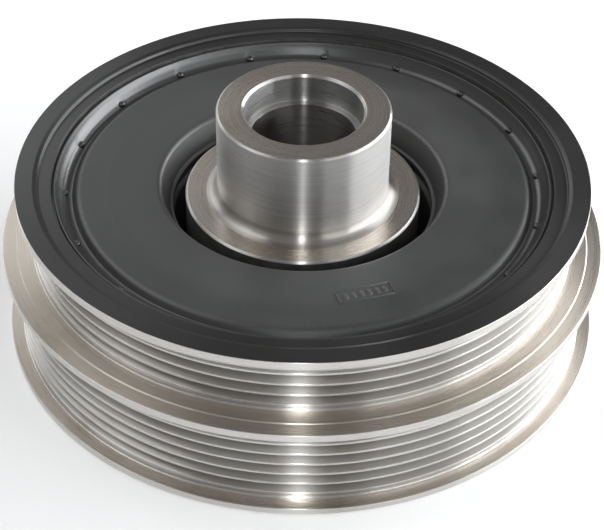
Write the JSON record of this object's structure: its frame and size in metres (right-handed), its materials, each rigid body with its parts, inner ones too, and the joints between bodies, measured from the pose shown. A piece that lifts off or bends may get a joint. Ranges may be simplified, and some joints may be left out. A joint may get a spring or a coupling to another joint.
{
  "type": "harmonic balancer",
  "caption": "Crankshaft harmonic balancer: steel hub with oil-seal sleeve, rubber-coupled ring with two ribbed belt tracks, and an inertia ring inside.",
  "frame": {"origin": "on the crankshaft axis, in the plane of the pulley ring's front face, which the part stands on", "axes": "+Z along the crankshaft axis towards the engine, so the oil-seal sleeve points up; X and Y are free, because the part is turned"},
  "size_m": [0.17, 0.17, 0.069],
  "materials": {
    "hub_steel": "bare turned steel, ground on the seal sleeve",
    "ring_iron": "bare turned iron with a thin black coating on the rear face",
    "moulded_rubber": "matte moulded rubber with a faint blue sheen on its curves",
    "pressed_steel": "phosphated pressed steel",
    "inertia_iron": "machined iron, darkened",
    "damper_rubber": "matte black rubber",
    "bush_plastic": "dark bearing plastic"
  },
  "bodies": {
    "root": {"hub": "hub_steel", "pulley_ring": "ring_iron", "isolator_rubber": "moulded_rubber", "carrier_ring": "pressed_steel", "inertia_ring": "inertia_iron", "damper_rubber": "damper_rubber", "bearing_bush": "bush_plastic"}
  },
  "joints": []
}
